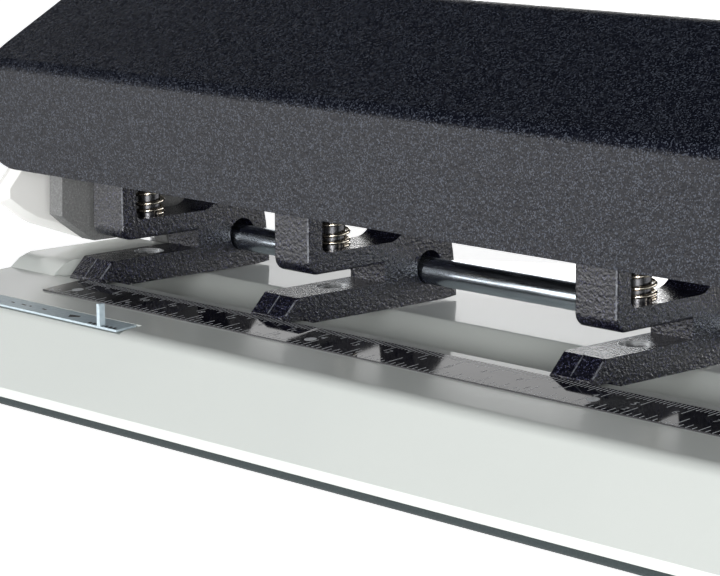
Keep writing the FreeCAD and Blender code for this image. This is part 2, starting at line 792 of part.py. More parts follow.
# ------------------------------------------------------------------ punch heads
def make_head_casting(name, place):
    body = new_body(name)
    section = new_sketch(body, "YZ_Plane")
    outline(section, [
        (back("0.4"), up("-0.6")),
        (back("0.4"), up("0.4")),
        (back("nose_run"), up("throat_low")),
        (back("throat_back"), up("throat_low")),
        (back("throat_back"), up("throat_low + throat_gap")),
        (back("front_face"), up("throat_low + throat_gap")),
        (back("front_face"), up("head_top")),
        (back("33"), up("head_top")),
        at(43.0, 24.0), at(47.6, 20.5), at(50.6, 14.5), at(51.7, 8.5),
        (back("tail_back"), up("-0.2")),
        (back("tail_back"), up("-1.4")),
        (back("tail_back - 4"), up("-arm_under")),
        (back("6.6"), up("-arm_under")),
        (back("6.6"), up("-0.6")),
    ])
    pad(body, section, "head_wide", midplane=True)
    round_edges(body, 3.0, along_x(size(back("front_face")), size(up("throat_low + throat_gap"))))
    round_edges(body, 2.0, along_x(size(back("front_face")), size(up("head_top"))))

    window = new_sketch(body, "YZ_Plane")
    box_outline(window, (back("window_front"), up("window_low")),
                (back("window_back"), up("window_high")))
    pocket(body, window, "head_wide + 2", midplane=True)
    low_back = along_x(size(back("window_back")), size(up("window_low")))
    low_front = along_x(size(back("window_front")), size(up("window_low")))
    high_back = along_x(size(back("window_back")), size(up("window_high")))
    round_edges(body, 5.0, low_back)
    round_edges(body, 1.6, low_front)
    round_edges(body, 4.0, high_back)

    rod = new_sketch(body, "YZ_Plane")
    ring(rod, back("rod_back"), up("rod_hole_up"), "rod_hole_r")
    pocket(body, rod, "head_wide + 2", midplane=True)

    bore = new_sketch(body, "XY_Plane", up("head_top + 1"))
    ring(bore, "0", back("punch_back"), "punch_r + fit_gap")
    pocket(body, bore, "head_top - throat_low - 1")
    seat = new_sketch(body, "XY_Plane", up("throat_low + 1"))
    ring(seat, "0", back("punch_back"), "die_r + 0.02")
    pocket(body, seat, "throat_low + 1 + arm_under + 1")

    def outer_rim(mid, way):
        on_side = abs(abs(mid.x) - 0.5 * size("head_wide")) < 0.01
        front = mid.y < size(back("front_face + 0.01")) and mid.z > size(up("12"))
        nose = mid.y < size(back("nose_run")) and mid.z > size(up("0.4"))
        return on_side and (front or nose)

    round_edges(body, 0.7, outer_rim)
    place_x(body, place)


def make_die_bush(name, place):
    body = new_body(name)
    revolve(body, [
        ("punch_r + 0.08", "-(throat_low + arm_under) + 0.6"),
        ("die_r", "-(throat_low + arm_under) + 0.6"),
        ("die_r", "0"),
        ("die_r - 0.08", "0"),
        ("punch_r + 0.08", "-1.2"),
    ], back("punch_back"), up("throat_low"))
    place_x(body, place)


def make_punch_pin(name, place):
    body = new_body(name)
    length = "(punch_top - punch_tip)"
    groove_low = "(clip_low - punch_tip)"
    groove_high = "(clip_high - punch_tip)"
    revolve(body, [
        ("0", "0.8"),
        ("punch_r - 0.3", "0"),
        ("punch_r", "0"),
        ("punch_r", groove_low),
        ("punch_r - 0.5", groove_low),
        ("punch_r - 0.5", groove_high),
        ("punch_r", groove_high),
        ("punch_r", length + " - cap_high"),
        ("cap_r", length + " - cap_high"),
        ("cap_r", length + " - 1.3"),
        ("cap_r - 2.2", length),
        ("0", length),
    ], back("punch_back"), up("punch_tip"))
    place_x(body, place)


def make_pin_clip(name, place):
    body = new_body(name)
    revolve(body, [
        ("punch_r - 0.5", "0"), ("clip_r", "0"),
        ("clip_r", "clip_high - clip_low"), ("punch_r - 0.5", "clip_high - clip_low"),
    ], back("punch_back"), up("clip_low"))
    place_x(body, place)


def make_pin_spring(name, place):
    """A compression spring between the window's sill and the punch's clip."""
    wire_r = size("spring_wire_r")
    radius = size("spring_r")
    low = size(up("window_low")) + wire_r + 0.05
    high = size(up("clip_low")) - wire_r - 0.05
    pitch = (high - low) / size("spring_turns")
    path = Part.makeHelix(pitch, high - low, radius)
    rim = []
    for corner in range(WIRE_SIDES + 1):
        turn = 2 * math.pi * (corner % WIRE_SIDES) / WIRE_SIDES
        rim.append(FreeCAD.Vector(radius + wire_r * math.cos(turn), 0, wire_r * math.sin(turn)))
    loop = Part.makePolygon(rim)
    pipe = Part.Wire(path).makePipeShell([loop], True, True)
    item = doc.addObject("Part::Feature", name + "_coil")
    item.Shape = pipe
    item.Placement.Base = FreeCAD.Vector(size(place), size(back("punch_back")), low)
    simple_node(name, item)


# ------------------------------------------------------------------ build
make_base_shell()
make_base_plate()
make_base_mat()
make_ruler_strip()
make_paper_guide()
make_chip_drawer()
for side_name, side in SIDES:
    make_end_bracket("end_bracket_" + side_name, side)
make_bracket_screws()
make_guide_rod()
make_rod_clips()
for side_name, side in SIDES:
    make_hinge_pin("hinge_pin_" + side_name, side)
    make_hinge_spacer("hinge_spacer_" + side_name, side)
make_handle_cover()
for side_name, side in SIDES:
    make_handle_arm("handle_arm_" + side_name, side)
make_pressure_bar()
make_cover_screws()
for number in (1, 2, 3):
    place = "head_%d_x" % number
    make_head_casting("head_casting_%d" % number, place)
    make_die_bush("die_bush_%d" % number, place)
    make_punch_pin("punch_pin_%d" % number, place)
    make_pin_clip("pin_clip_%d" % number, place)
    make_pin_spring("pin_spring_%d" % number, place)
doc.recompute()

# ------------------------------------------------------------------ check and export
for item in doc.Objects:
    if "Invalid" in item.State or "Error" in item.State:
        raise RuntimeError("%s failed: %s" % (item.Label, item.State))
for name, item in NODES:
    if item.Shape.isNull() or not item.Shape.isValid():
        raise RuntimeError(name + " has a bad shape")
    for solid in item.Shape.Solids:
        if not solid.isClosed():
            raise RuntimeError(name + " is not closed")
    item.Shape.exportStep("parts/%s.step" % name)
    box = item.Shape.BoundBox
    print("%-20s solids %d  volume %9.1f  x %7.1f %7.1f  y %6.1f %6.1f  z %6.1f %6.1f" % (
        name, len(item.Shape.Solids), item.Shape.Volume,
        box.XMin, box.XMax, box.YMin, box.YMax, box.ZMin, box.ZMax))
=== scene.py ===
import json
import math

import bmesh
import bpy
from mathutils import Matrix, Vector


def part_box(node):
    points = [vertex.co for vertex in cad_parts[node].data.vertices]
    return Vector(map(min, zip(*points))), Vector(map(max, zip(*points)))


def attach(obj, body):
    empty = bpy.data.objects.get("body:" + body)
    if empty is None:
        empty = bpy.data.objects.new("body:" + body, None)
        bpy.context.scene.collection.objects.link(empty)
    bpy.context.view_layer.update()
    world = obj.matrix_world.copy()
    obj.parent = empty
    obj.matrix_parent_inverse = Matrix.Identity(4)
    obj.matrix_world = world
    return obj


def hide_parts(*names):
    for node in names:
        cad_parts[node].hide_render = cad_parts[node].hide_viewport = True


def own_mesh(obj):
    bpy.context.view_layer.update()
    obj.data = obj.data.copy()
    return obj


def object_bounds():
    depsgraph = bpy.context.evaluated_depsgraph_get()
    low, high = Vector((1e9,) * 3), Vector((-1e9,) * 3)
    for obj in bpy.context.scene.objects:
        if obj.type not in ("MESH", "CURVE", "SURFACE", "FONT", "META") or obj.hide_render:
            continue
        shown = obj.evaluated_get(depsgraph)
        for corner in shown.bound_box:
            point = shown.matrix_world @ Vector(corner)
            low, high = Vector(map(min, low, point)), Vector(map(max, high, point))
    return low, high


# Looks of the three hole punch: materials for the CAD nodes, finished copies with softened
# edges, the springs, the printed scale, the lines on the noses, the marks on the side stop, the
# screw heads, the camera, the lights and the floor. Everything is in metres, in the part's frame.

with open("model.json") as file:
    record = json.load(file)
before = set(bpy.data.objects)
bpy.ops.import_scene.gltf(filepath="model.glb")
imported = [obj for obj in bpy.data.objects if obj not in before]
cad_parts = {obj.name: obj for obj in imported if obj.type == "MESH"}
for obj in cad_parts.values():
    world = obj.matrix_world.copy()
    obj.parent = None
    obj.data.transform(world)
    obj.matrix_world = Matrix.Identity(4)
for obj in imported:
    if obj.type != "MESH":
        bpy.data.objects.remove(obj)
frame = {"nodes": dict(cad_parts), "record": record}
cad_low, cad_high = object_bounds()

MM = 0.001
NODES = frame["nodes"]
HEADS = (1, 2, 3)
BODY_OF = {node: body for body, nodes in frame["record"]["behaviour"]["bodies"].items()
           for node in nodes}
SLOT_OF = {row["node"]: row["material_slot"] for row in frame["record"]["subparts"]}
SCENE = bpy.context.scene
CHANNEL_FRONT_Y = cad_low.y + 38.4 * MM      # just behind the ledge


# ------------------------------------------------------------------ material helpers
class Finish:
    """A procedural material: one Principled shader and the nodes that feed it."""

    def __init__(self, name, colour, rough, metal=0.0, coat=0.0, coat_rough=0.05, level=0.5):
        self.material = bpy.data.materials.new(name)
        self.material.use_nodes = True
        self.tree = self.material.node_tree
        self.shader = self.tree.nodes["Principled BSDF"]
        self.set("Base Color", (*colour, 1.0))
        self.set("Roughness", rough)
        self.set("Metallic", metal)
        self.set("Coat Weight", coat)
        self.set("Coat Roughness", coat_rough)
        self.set("Specular IOR Level", level)
        self.normal = None
        coordinates = self.tree.nodes.new("ShaderNodeTexCoord")
        self.place = coordinates.outputs["Object"]

    def set(self, socket, value):
        self.shader.inputs[socket].default_value = value

    def link(self, source, target):
        self.tree.links.new(source, target)

    def stretched(self, factors):
        """The object's coordinates, scaled differently along each axis."""
        mapping = self.tree.nodes.new("ShaderNodeMapping")
        mapping.inputs["Scale"].default_value = factors
        self.link(self.place, mapping.inputs["Vector"])
        return mapping.outputs["Vector"]

    def noise(self, grain, detail=2.0, place=None):
        """Noise whose features are about grain metres across."""
        node = self.tree.nodes.new("ShaderNodeTexNoise")
        node.inputs["Scale"].default_value = 1.0 / grain
        node.inputs["Detail"].default_value = detail
        self.link(place or self.place, node.inputs["Vector"])
        return node.outputs["Fac"]

    def voronoi(self, size):
        """Cells about size metres across."""
        node = self.tree.nodes.new("ShaderNodeTexVoronoi")
        node.inputs["Scale"].default_value = 1.0 / size
        self.link(self.place, node.inputs["Vector"])
        return node

    def cells(self, size):
        """How far a point is from the middle of its cell."""
        return self.voronoi(size).outputs["Distance"]

    def grains(self, size, share):
        """1 in a share of the small cells that fill space, 0 in the others."""
        split = self.tree.nodes.new("ShaderNodeSeparateColor")
        self.link(self.voronoi(size).outputs["Color"], split.inputs["Color"])
        return self.ramp(split.outputs["Red"], [(1.0 - share, 0.0), (1.02 - share, 1.0)])

    def ramp(self, source, stops):
        """Colours or greys along a 0 to 1 value."""
        node = self.tree.nodes.new("ShaderNodeValToRGB")
        band = node.color_ramp
        while len(band.elements) < len(stops):
            band.elements.new(0.5)
        for element, (spot, colour) in zip(band.elements, stops):
            element.position = spot
            grey = isinstance(colour, (int, float))
            element.color = (colour, colour, colour, 1.0) if grey else (*colour, 1.0)
        self.link(source, node.inputs["Fac"])
        return node.outputs["Color"]

    def mix(self, share, first, second):
        """Blend two colours by a 0 to 1 value; each is a socket or a colour."""
        node = self.tree.nodes.new("ShaderNodeMix")
        node.data_type = "RGBA"
        self.link(share, node.inputs["Factor"])
        for socket, value in (("A", first), ("B", second)):
            target = [i for i in node.inputs if i.name == socket and i.type == "RGBA"][0]
            if isinstance(value, tuple):
                target.default_value = (*value, 1.0)
            else:
                self.link(value, target)
        return [o for o in node.outputs if o.type == "RGBA"][0]

    def colour(self, source):
        self.link(source, self.shader.inputs["Base Color"])

    def rough(self, source):
        self.link(source, self.shader.inputs["Roughness"])

    def bump(self, height, strength, depth):
        """Add a layer of relief, depth metres deep."""
        node = self.tree.nodes.new("ShaderNodeBump")
        node.inputs["Strength"].default_value = strength
        node.inputs["Distance"].default_value = depth
        self.link(height, node.inputs["Height"])
        if self.normal is not None:
            self.link(self.normal, node.inputs["Normal"])
        self.normal = node.outputs["Normal"]
        self.link(self.normal, self.shader.inputs["Normal"])


# ------------------------------------------------------------------ materials
# painted highlight: the size of the bright glint grains that are mixed into the coats' colour
PAINTED_GLINT_SIZE = 0.5          # bright grains, as a part of the coat's grain
COARSE_RELIEF = 1.8       # the coarser layer of relief, in grains
CLOUD_SIZE = 3.0          # patches of changing gloss, in grains


def powder_coat(name, dark, light, painted_glint, grain, relief, rough, share, level):
    """Textured powder coat: two layers of relief, mottled colour and painted glints as small
    bright grains.
    """
    finish = Finish(name, dark, rough, level=level)
    fine = finish.noise(grain, detail=3.0)
    mottled = finish.ramp(fine, [(0.34, dark), (0.66, light)])
    # painted highlight: bright glint grains mixed into the base colour
    finish.colour(finish.mix(finish.grains(grain * PAINTED_GLINT_SIZE, share), mottled, painted_glint))
    clouds = finish.noise(grain * CLOUD_SIZE)
    finish.rough(finish.ramp(clouds, [(0.3, rough - 0.06), (0.7, rough + 0.08)]))
    finish.bump(finish.noise(grain * COARSE_RELIEF, detail=1.0), 1.0, relief)
    finish.bump(fine, 1.0, 0.7 * relief)
    return finish.material


ENAMEL_CLOUDS = 60 * MM
ORANGE_PEEL = 1.6 * MM
GLOSS_BORDER = 1 * MM
HIGH_GLOSS = 0.04


def enamel(name, colour, shade, rough, coat, coat_rough, gloss_from=None):
    """Stoved paint with a faint orange peel; glossier behind the line y = gloss_from."""
    finish = Finish(name, colour, rough, coat=coat, coat_rough=coat_rough)
    clouds = finish.noise(ENAMEL_CLOUDS, detail=3.0)
    finish.colour(finish.ramp(clouds, [(0.35, shade), (0.65, colour)]))
    finish.bump(finish.noise(ORANGE_PEEL, detail=2.0), 0.05, 0.02 * MM)
    if gloss_from is not None:
        split = finish.tree.nodes.new("ShaderNodeSeparateXYZ")
        finish.link(finish.place, split.inputs["Vector"])
        span = finish.tree.nodes.new("ShaderNodeMapRange")
        for socket, value in (("From Min", gloss_from - GLOSS_BORDER),
                              ("From Max", gloss_from + GLOSS_BORDER),
                              ("To Min", coat_rough), ("To Max", HIGH_GLOSS)):
            span.inputs[socket].default_value = value
        finish.link(split.outputs["Y"], span.inputs["Value"])
        finish.link(span.outputs["Result"], finish.shader.inputs["Coat Roughness"])
    return finish.material


def brushed(name, colour, rough, factors, relief=0.01 * MM, metal=1.0):
    """Metal with fine lines along one axis."""
    finish = Finish(name, colour, rough, metal=metal)
    lines = finish.noise(1.0 * MM, detail=4.0, place=finish.stretched(factors))
    dim = tuple(0.78 * c for c in colour)
    finish.colour(finish.ramp(lines, [(0.3, dim), (0.7, colour)]))
    finish.rough(finish.ramp(lines, [(0.3, rough * 0.8), (0.7, rough * 1.3)]))
    finish.bump(lines, 0.35, relief)
    return finish.material


def rubber(name):
    """Matt rubber with a fine grain."""
    finish = Finish(name, (0.020, 0.030, 0.032), 0.62, level=0.4)
    grain = finish.noise(0.5 * MM, detail=3.0)
    finish.colour(finish.ramp(grain, [(0.3, (0.016, 0.025, 0.027)), (0.7, (0.03, 0.042, 0.044))]))
    finish.bump(grain, 0.4, 0.03 * MM)
    return finish.material


def ruler_gloss(name):
    """Gloss black strip, with faint wiping marks in its polish and specks of dust."""
    black = (0.006, 0.006, 0.010)
    finish = Finish(name, black, 0.05, level=0.45)
    wiped = finish.noise(6 * MM, detail=4.0, place=finish.stretched((0.4, 1.0, 1.0)))
    finish.rough(finish.ramp(wiped, [(0.35, 0.03), (0.75, 0.10)]))
    dust = finish.ramp(finish.noise(0.35 * MM, detail=1.0), [(0.76, 0.0), (0.80, 1.0)])
    finish.colour(finish.mix(dust, black, (0.05, 0.05, 0.055)))
    return finish.material


def ink(name, colour):
    """Printed paint, slightly uneven."""
    finish = Finish(name, colour, 0.45)
    worn = finish.noise(0.3 * MM, detail=2.0)
    pale = tuple(0.72 * c for c in colour)
    finish.colour(finish.ramp(worn, [(0.35, pale), (0.6, colour)]))
    return finish.material


def zinc(name):
    """Bluish zinc plate with a fine crystal pattern."""
    finish = Finish(name, (0.52, 0.60, 0.64), 0.42, metal=0.35)
    crystals = finish.cells(1.1 * MM)
    finish.colour(finish.ramp(crystals, [(0.1, (0.46, 0.56, 0.61)), (0.7, (0.55, 0.65, 0.70))]))
    finish.rough(finish.ramp(finish.noise(3 * MM), [(0.3, 0.36), (0.7, 0.48)]))
    finish.bump(finish.noise(0.4 * MM), 0.2, 0.01 * MM)
    return finish.material


def rubbed(name):
    """Bright coat along an edge, patchy along its length: a painted edge highlight."""
    finish = Finish(name, (0.20, 0.21, 0.23), 0.45, metal=0.2)
    patchy = finish.noise(0.7 * MM, detail=3.0)
    finish.colour(finish.ramp(patchy, [(0.35, (0.04, 0.04, 0.05)), (0.60, (0.16, 0.17, 0.19))]))
    finish.bump(patchy, 0.4, 0.02 * MM)
    return finish.material


def moulded(name):
    """Black moulded plastic with a fine spark texture."""
    finish = Finish(name, (0.022, 0.022, 0.025), 0.42)
    grain = finish.noise(0.35 * MM, detail=2.0)
    finish.colour(finish.ramp(grain, [(0.3, (0.018, 0.018, 0.020)), (0.7, (0.030, 0.030, 0.033))]))
    finish.bump(grain, 0.35, 0.02 * MM)
    return finish.material


MATERIALS = {
    # the third colour of each coat is its painted glint
    "cover_paint": powder_coat("cover_coat", (0.0015, 0.002, 0.005), (0.006, 0.007, 0.012),
                               (0.050, 0.057, 0.074), 0.46 * MM, 0.10 * MM, 0.24,
                               share=0.20, level=0.20),
    "head_paint": powder_coat("head_coat", (0.002, 0.002, 0.005), (0.006, 0.006, 0.012),
                              (0.042, 0.044, 0.080), 0.46 * MM, 0.22 * MM, 0.17,
                              share=0.12, level=0.75),
    "bracket_paint": powder_coat("bracket_coat", (0.155, 0.157, 0.156), (0.210, 0.213, 0.212),
                                 (0.25, 0.25, 0.25), 0.50 * MM, 0.12 * MM, 0.60,
                                 share=0.08, level=0.3),
    "base_paint": enamel("base_enamel", (0.630, 0.660, 0.632), (0.612, 0.643, 0.617),
                         0.40, 0.8, 0.16, gloss_from=CHANNEL_FRONT_Y),
    "arm_paint": enamel("arm_enamel", (0.90, 0.895, 0.87), (0.87, 0.865, 0.84), 0.40, 0.3, 0.2),
    "mat_rubber": rubber("mat_rubber"),
    "ruler_black": ruler_gloss("ruler_gloss"),
    "guide_zinc": zinc("guide_zinc"),
    "drawer_plastic": moulded("drawer_plastic"),
    "plate_steel": brushed("plate_steel", (0.50, 0.51, 0.52), 0.38, (0.1, 1.0, 1.0)),
    "rod_chrome": brushed("rod_chrome", (0.66, 0.73, 0.80), 0.22, (0.12, 1.0, 1.0), 0.008 * MM),
    "fastener_steel": brushed("fastener_steel", (0.62, 0.62, 0.64), 0.26, (1.0, 1.0, 0.3)),
    "bar_steel": brushed("bar_steel", (0.045, 0.045, 0.050), 0.40, (0.05, 1.0, 1.0)),
    "tool_steel": brushed("tool_steel", (0.70, 0.71, 0.73), 0.16, (1.0, 1.0, 0.15)),
    "spring_steel": brushed("spring_steel", (0.86, 0.78, 0.66), 0.16, (1.0, 1.0, 1.0)),
}
# painted highlight for the noses' middle lines and their right edges
EDGE_HIGHLIGHT_PAINT = rubbed("painted_edge_highlight")
DIE_STEEL = brushed("die_steel", (0.80, 0.82, 0.84), 0.24, (0.2, 0.2, 3.0), metal=0.88)
PUNCH_STEEL = brushed("punch_steel", (0.17, 0.17, 0.18), 0.24, (1.0, 1.0, 0.15))
PRINT_WHITE = ink("print_white", (0.56, 0.58, 0.60))
PRINT_BLACK = ink("print_black", (0.012, 0.013, 0.014))


# ------------------------------------------------------------------ piece helpers
def new_piece(name, mesh, body, material):
    """A mesh object of the visual model, riding on a CAD body."""
    piece = bpy.data.objects.new(name, mesh)
    SCENE.collection.objects.link(piece)
    mesh.materials.append(material)
    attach(piece, body)
    return piece


def mesh_of(name, bm, smooth_angle=30.0):
    """Turn a bmesh into a mesh with smooth shading up to an angle."""
    bmesh.ops.recalc_face_normals(bm, faces=bm.faces)
    mesh = bpy.data.meshes.new(name)
    bm.to_mesh(mesh)
    bm.free()
    for face in mesh.polygons:
        face.use_smooth = True
    mesh.set_sharp_from_angle(angle=math.radians(smooth_angle))
    return mesh


WELD = 0.002 * MM
FLAT_ANGLE = math.radians(0.4)
CREASE_ANGLE = math.radians(32)


def welded(node):
    """A CAD node's surface with its faces joined up and its flat faces merged."""
    source = NODES[node].data
    bm = bmesh.new()
    spots = [bm.verts.new(v.co) for v in source.vertices]
    for face in source.polygons:
        try:
            bm.faces.new([spots[i] for i in face.vertices])
        except ValueError:
            continue
    bmesh.ops.remove_doubles(bm, verts=bm.verts, dist=WELD)
    bmesh.ops.dissolve_degenerate(bm, edges=bm.edges, dist=WELD)
    bmesh.ops.dissolve_limit(bm, angle_limit=FLAT_ANGLE, verts=bm.verts, edges=bm.edges,
                             delimit={"NORMAL"})
    return bm


def finished(node, bevel):
    """A copy of a CAD node with its sharp edges softened, shown in the node's place."""
    slot = SLOT_OF[node]
    mesh = mesh_of(node + "_finished", welded(node))
    piece = new_piece(node + "_finished", mesh, BODY_OF[node], MATERIALS[slot])
    soft = piece.modifiers.new("softened edges", "BEVEL")
    soft.width = bevel
    soft.segments = 3
    soft.limit_method = "ANGLE"
    soft.angle_limit = CREASE_ANGLE
    soft.harden_normals = False
    even = piece.modifiers.new("even shading", "WEIGHTED_NORMAL")
    even.mode = "FACE_AREA"
    even.weight = 80
    even.keep_sharp = False
    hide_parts(node)


def tube_ring(bm, middle, out, up, radius, sides):
    """A ring of vertices round a point, in the plane of two directions."""
    ring = []
    for i in range(sides):
        turn = 2 * math.pi * i / sides
        ring.append(bm.verts.new(middle + radius * (math.cos(turn) * out + math.sin(turn) * up)))
    return ring


def bridge(bm, first, second):
    """Faces between two rings of vertices."""
    count = len(first)
    for i in range(count):
        j = (i + 1) % count
        bm.faces.new((first[i], first[j], second[j], second[i]))


# ------------------------------------------------------------------ CAD nodes' finishes
SPECIAL = {"punch_pin": PUNCH_STEEL, "die_bush": DIE_STEEL}
for node_name, node_object in NODES.items():
    special = SPECIAL.get(node_name.rpartition("_")[0])
    node_object.data.materials.clear()
    node_object.data.materials.append(special or MATERIALS[SLOT_OF[node_name]])

BEVELS = {
    "base_shell": 0.35 * MM,
    "base_mat": 0.25 * MM,
    "handle_cover": 0.80 * MM,
    "handle_arm_left": 0.30 * MM,
    "handle_arm_right": 0.30 * MM,
    "end_bracket_left": 0.60 * MM,
    "end_bracket_right": 0.60 * MM,
    "pressure_bar": 0.30 * MM,
    "chip_drawer": 0.30 * MM,
    "paper_guide": 0.08 * MM,
}
for head in HEADS:
    BEVELS["head_casting_%d" % head] = 0.45 * MM
for node_name, width in BEVELS.items():
    finished(node_name, width)


# ------------------------------------------------------------------ springs
SPRING_WIRE = 0.42 * MM
SPRING_TURNS = 5.5
SPRING_STEPS = 40
WIRE_SIDES = 14
COIL_INSET = 1.05 * MM    # the coil's centre line, in from the clip's rim
CLIP_GAP = 0.04 * MM
SILL_SINK = 0.05 * MM     # the CAD spring starts this much above its seat
END_CLOSING = 0.08        # how much closer the end turns stand
UP = Vector((0, 0, 1))


def make_spring(head):
    """A compression spring with closed ends, from its seat up to the clip."""
    node = "pin_spring_%d" % head
    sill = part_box(node)[0].z - SILL_SINK
    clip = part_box("pin_clip_%d" % head)
    middle = (clip[0] + clip[1]) / 2
    radius = 0.5 * (clip[1].x - clip[0].x) - COIL_INSET
    reach = clip[0].z - sill - CLIP_GAP
    height = reach - 2 * SPRING_WIRE
    bm = bmesh.new()
    rings = []
    count = int(SPRING_TURNS * SPRING_STEPS)
    for i in range(count + 1):
        share = i / count
        turn = 2 * math.pi * SPRING_TURNS * share
        eased = share - END_CLOSING * math.sin(2 * math.pi * share)
        out = Vector((math.cos(turn), math.sin(turn), 0.0))
        spot = Vector((middle.x, middle.y, sill + SPRING_WIRE + eased * height)) + radius * out
        rings.append(tube_ring(bm, spot, out, UP, SPRING_WIRE, WIRE_SIDES))
    for first, second in zip(rings, rings[1:]):
        bridge(bm, first, second)
    bm.faces.new(rings[0])
    bm.faces.new(rings[-1])
    mesh = mesh_of("spring_coil_%d" % head, bm)
    piece = new_piece("spring_coil_%d" % head, mesh, "head_%d" % head,
                      MATERIALS["spring_steel"])
    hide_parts(node)
    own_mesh(piece)


for head in HEADS:
    make_spring(head)


# ------------------------------------------------------------------ printed scale
RULER_LOW, RULER_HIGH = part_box("ruler_strip")
RULER_WIDE = RULER_HIGH.y - RULER_LOW.y
LEDGE_SLOPE = 0.065
PRINT_LOW = 0.002 * MM    # print starts this much above the strip
PRINT_THICK = 0.02 * MM
INCH = 25.4 * MM
CENTIMETRE = 10 * MM
METRIC_TICKS = ((10, 5.3), (5, 3.6), (1, 2.3))              # every so many: length in mm
INCH_TICKS = ((8, 5.0), (4, 3.3), (2, 2.4), (1, 1.5))
METRIC_TICK_WIDE = 0.17 * MM
INCH_TICK_WIDE = 0.22 * MM
BACK_MARGIN = 0.25 * MM
FRONT_MARGIN = 0.15 * MM
FIGURE_SIZE = 2.6 * MM
FIGURE_ASIDE = 1.5 * MM   # a figure stands this much inside its tick
ZERO_DEPTH = 7.2 * MM     # depths are measured forwards from the strip's back edge
METRIC_DEPTH = 6.0 * MM
INCH_DEPTH = 9.6 * MM
DOT_PLACES = (-120 * MM, -40 * MM, 40 * MM, 120 * MM)
DOT_RADIUS = 1.35 * MM
DOT_DEPTH = 7.6 * MM
DOT_SIDES = 28


def on_ruler(x, in_from_back, lift=0.0):
    """A point on the ruler's top, measured forwards from its back edge."""
    y = RULER_HIGH.y - in_from_back
    return Vector((x, y, RULER_HIGH.z - LEDGE_SLOPE * in_from_back + lift))


def printed_patch(bm, outline):
    """A thin printed shape on the ruler: outline points are (x, distance from the back edge)."""
    low = [bm.verts.new(on_ruler(x, d, PRINT_LOW)) for x, d in outline]
    high = [bm.verts.new(on_ruler(x, d, PRINT_THICK)) for x, d in outline]
    bm.faces.new(high)
    bridge(bm, low, high)


def tick(bm, x, start, end, wide):
    """A short line across the ruler."""
    printed_patch(bm, [(x - wide / 2, start), (x + wide / 2, start),
                       (x + wide / 2, end), (x - wide / 2, end)])


def tick_reach(count, lengths):
    """The length of a tick: the first of the lengths whose step divides its count."""
    return next(length * MM for step, length in lengths if count % step == 0)


def make_ticks():
    """Millimetres along the back edge and sixteenths of an inch along the front edge."""
    bm = bmesh.new()
    limit = RULER_HIGH.x - 2 * MM
    for k in range(-int(limit / MM), int(limit / MM) + 1):
        tick(bm, k * MM, BACK_MARGIN, tick_reach(k, METRIC_TICKS), METRIC_TICK_WIDE)
    step = INCH / 16
    for k in range(-int(limit / step), int(limit / step) + 1):
        start = RULER_WIDE - tick_reach(k, INCH_TICKS)
        tick(bm, k * step, start, RULER_WIDE - FRONT_MARGIN, INCH_TICK_WIDE)
    new_piece("ruler_ticks", mesh_of("ruler_ticks", bm), "base", PRINT_WHITE)


def make_figures():
    """The numbers of the two scales, counted outwards from the zero in the middle."""
    bm = bmesh.new()
    limit = RULER_HIGH.x - 3 * MM
    labels = [(0.0, 0, ZERO_DEPTH)]
    for pitch, depth in ((CENTIMETRE, METRIC_DEPTH), (INCH, INCH_DEPTH)):
        for k in range(1, int(limit / pitch) + 1):
            for side in (-1, 1):
                labels.append((side * (k * pitch - FIGURE_ASIDE), k, depth))
    for x, number, depth in labels:
        text = bpy.data.curves.new("figure", "FONT")
        text.body = str(number)
        text.size = FIGURE_SIZE
        text.align_x = "CENTER"
        text.resolution_u = 2
        holder = bpy.data.objects.new("figure", text)
        SCENE.collection.objects.link(holder)
        shape = bpy.data.meshes.new_from_object(holder)
        base = on_ruler(x, depth, PRINT_THICK)
        for vertex in shape.vertices:
            along = vertex.co.y
            vertex.co = base + Vector((vertex.co.x, along, LEDGE_SLOPE * along))
        bm.from_mesh(shape)
        bpy.data.objects.remove(holder)
        bpy.data.curves.remove(text)
        bpy.data.meshes.remove(shape)
    new_piece("ruler_figures", mesh_of("ruler_figures", bm), "base", PRINT_WHITE)


def make_index_dots():
    """Round marks at the usual hole positions, 80 mm apart."""
    bm = bmesh.new()
    for x in DOT_PLACES:
        outline = []
        for i in range(DOT_SIDES):
            turn = 2 * math.pi * i / DOT_SIDES
            outline.append((x + DOT_RADIUS * math.cos(turn),
                            DOT_DEPTH - DOT_RADIUS * math.sin(turn)))
        printed_patch(bm, outline)
    new_piece("ruler_dots", mesh_of("ruler_dots", bm), "base", PRINT_WHITE)


make_ticks()
make_figures()
make_index_dots()


# ------------------------------------------------------------------ lines on the noses, painted bright as highlights
# Places are measured in mm from the front lower corner of a casting's box.
RIB_FOOT = (0.25, 2.45)
RIB_TOP = (3.75, 5.95)
RIB_SECTION = ((-0.18, -0.10), (-0.10, 0.10), (0.10, 0.10), (0.18, -0.10))
EDGE_ROUND = 0.7 * MM
# the painted highlight slivers: how far proud of the rounded edge, and how deep
HIGHLIGHT_PROUD = 0.012 * MM
HIGHLIGHT_DEEP = 0.1 * MM
UPPER_NOSE = (7.1, 13.4)
UPPER_NOSE_TOP = 3.0 * MM      # down from the top of the casting
LOWER_NOSE_FOOT = 2.2 * MM
LOWER_NOSE_HIGHLIGHT = (0.7 * MM, 5.0 * MM)


